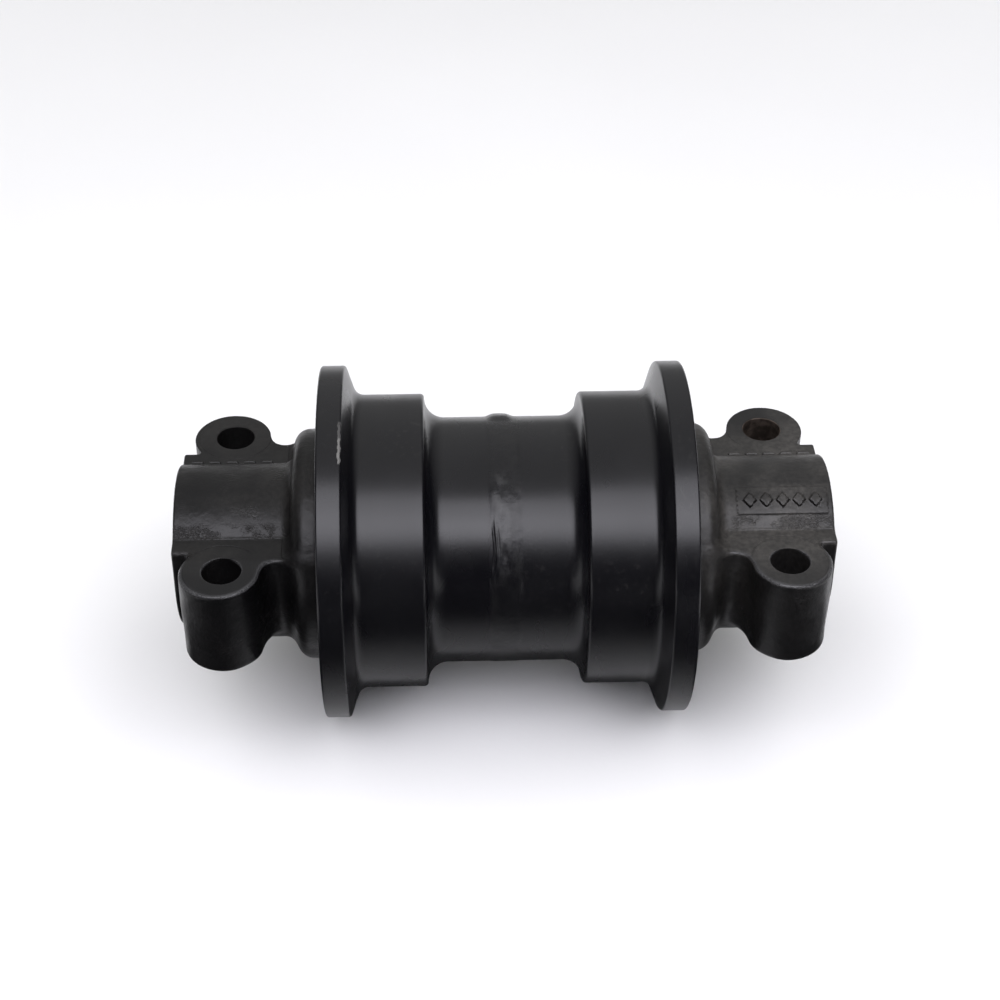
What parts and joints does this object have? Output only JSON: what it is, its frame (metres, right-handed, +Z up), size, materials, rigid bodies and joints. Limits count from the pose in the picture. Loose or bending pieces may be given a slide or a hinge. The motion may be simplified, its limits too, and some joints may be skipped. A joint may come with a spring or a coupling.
{
  "type": "track roller",
  "caption": "Flanged roller on a fixed axle that guides and carries a crawler's track chain, with a sealed oil bath and a bolted cast collar at each end.",
  "frame": {"origin": "middle of the axle, on its axis, which is also the middle of the overall box", "axes": "+X along the axle to the right-hand collar, +Z up to the machined pads that meet the track frame, -Y the side that faces the camera"},
  "size_m": [0.296, 0.162, 0.162],
  "materials": {
    "shell_paint": "satin black paint on a turned steel forging",
    "collar_paint": "satin black paint on a rough iron casting",
    "ground_steel": "ground steel with a thin film of oil",
    "plug_steel": "zinc-plated steel, dulled",
    "bush_bronze": "turned tin bronze on a steel back",
    "seal_iron": "lapped hard iron",
    "nitrile_rubber": "matt moulded nitrile rubber"
  },
  "bodies": {
    "axle_assembly": {"axle_shaft": "ground_steel", "oil_fill_plug": "plug_steel", "plug_o_ring": "nitrile_rubber", "left_collar": "collar_paint", "left_collar_seal_ring": "seal_iron", "left_collar_toric": "nitrile_rubber", "left_shaft_o_ring": "nitrile_rubber", "left_lock_pin": "ground_steel", "right_collar": "collar_paint", "right_collar_seal_ring": "seal_iron", "right_collar_toric": "nitrile_rubber", "right_shaft_o_ring": "nitrile_rubber", "right_lock_pin": "ground_steel"},
    "roller": {"roller_shell": "shell_paint", "left_bushing": "bush_bronze", "left_shell_seal_ring": "seal_iron", "left_shell_toric": "nitrile_rubber", "right_bushing": "bush_bronze", "right_shell_seal_ring": "seal_iron", "right_shell_toric": "nitrile_rubber"}
  },
  "joints": [
    {"name": "roller_spin", "type": "hinge", "parent": "axle_assembly", "child": "roller", "pos_m": [0, 0, 0], "axis": [1, 0, 0], "continuous": true}
  ]
}
